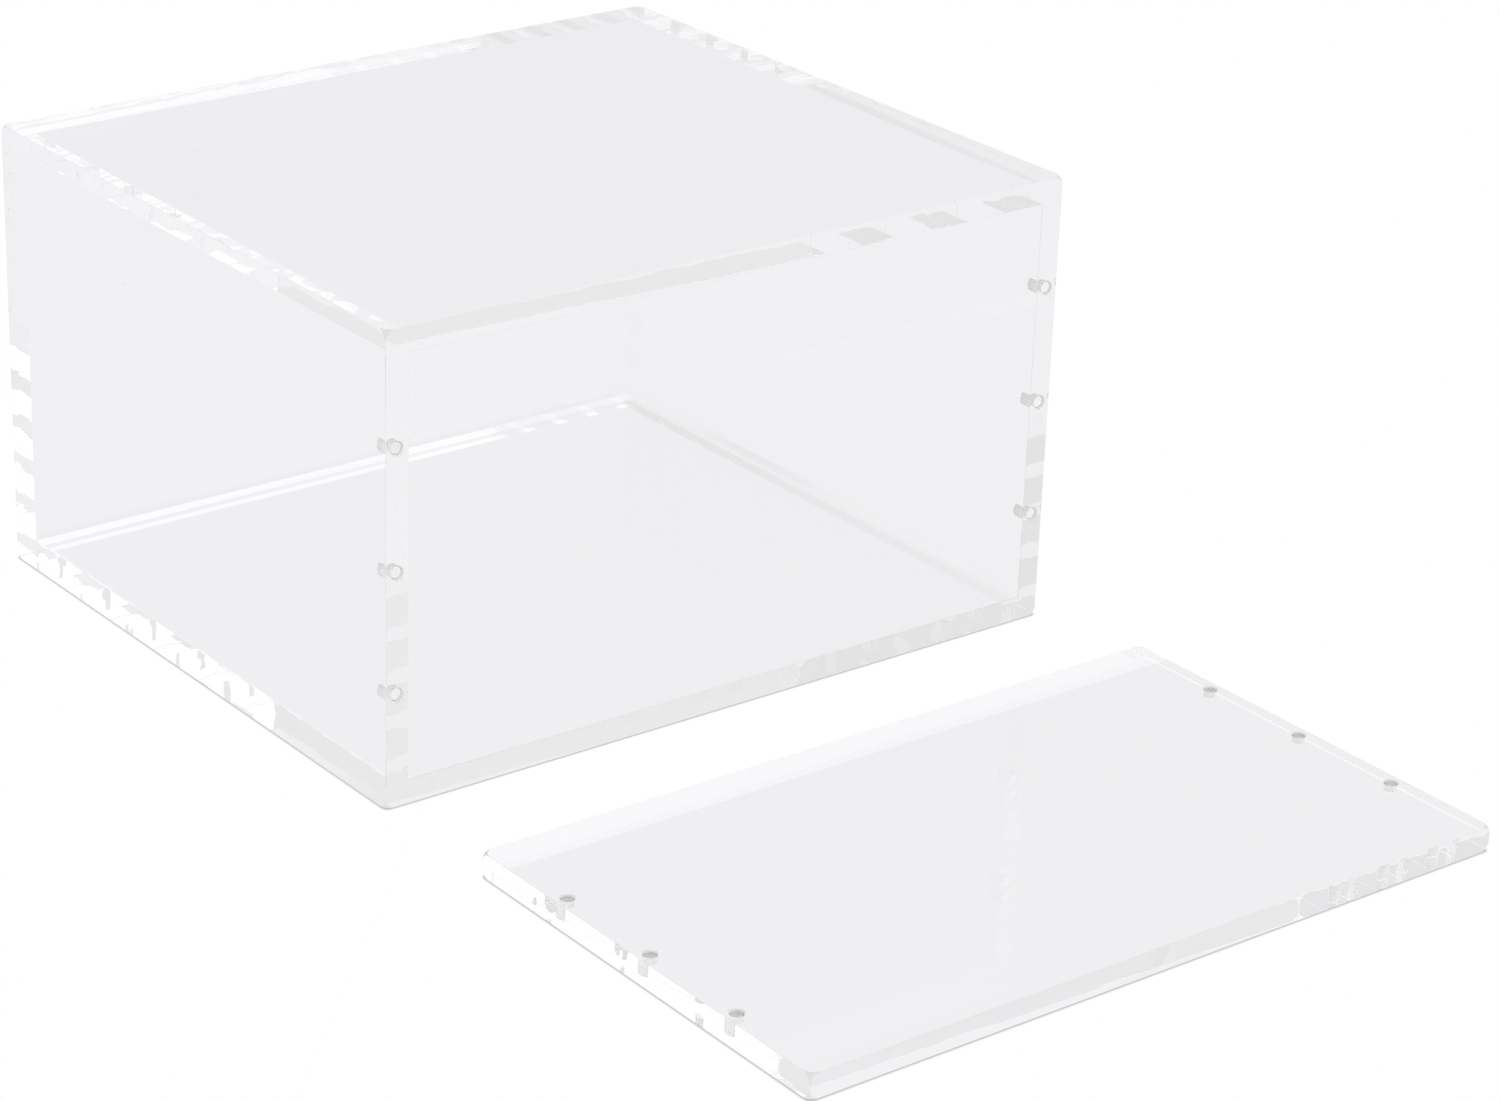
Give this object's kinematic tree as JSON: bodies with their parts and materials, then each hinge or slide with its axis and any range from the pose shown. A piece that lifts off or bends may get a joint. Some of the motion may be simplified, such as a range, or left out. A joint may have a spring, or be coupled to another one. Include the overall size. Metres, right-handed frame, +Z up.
{
  "type": "acrylic display case",
  "caption": "Clear acrylic display box, open at the front, with a loose front sheet that small magnets in the side walls' edges hold on.",
  "frame": {"origin": "middle of the case's underside, on the surface that it stands on", "axes": "+Z up, +Y from the open front to the back wall, +X to the right seen from the front"},
  "size_m": [0.16, 0.2675, 0.095],
  "materials": {
    "clear_acrylic": "polished clear sheet with polished edges",
    "nickel_plate": "bright nickel plate"
  },
  "bodies": {
    "bonded_case": {"bottom_panel": "clear_acrylic", "top_panel": "clear_acrylic", "back_panel": "clear_acrylic", "left_side_panel": "clear_acrylic", "right_side_panel": "clear_acrylic", "case_magnet_left_lower": "nickel_plate", "case_magnet_left_middle": "nickel_plate", "case_magnet_left_upper": "nickel_plate", "case_magnet_right_lower": "nickel_plate", "case_magnet_right_middle": "nickel_plate", "case_magnet_right_upper": "nickel_plate"},
    "front_sheet": {"front_panel": "clear_acrylic", "front_magnet_left_lower": "nickel_plate", "front_magnet_left_middle": "nickel_plate", "front_magnet_left_upper": "nickel_plate", "front_magnet_right_lower": "nickel_plate", "front_magnet_right_middle": "nickel_plate", "front_magnet_right_upper": "nickel_plate"}
  },
  "joints": [
    {"name": "front_sheet_closing", "type": "hinge", "parent": "bonded_case", "child": "front_sheet", "pos_m": [0, -0.0889, -0.0131], "axis": [-1, 0, 0], "range_deg": [0, 90]}
  ]
}
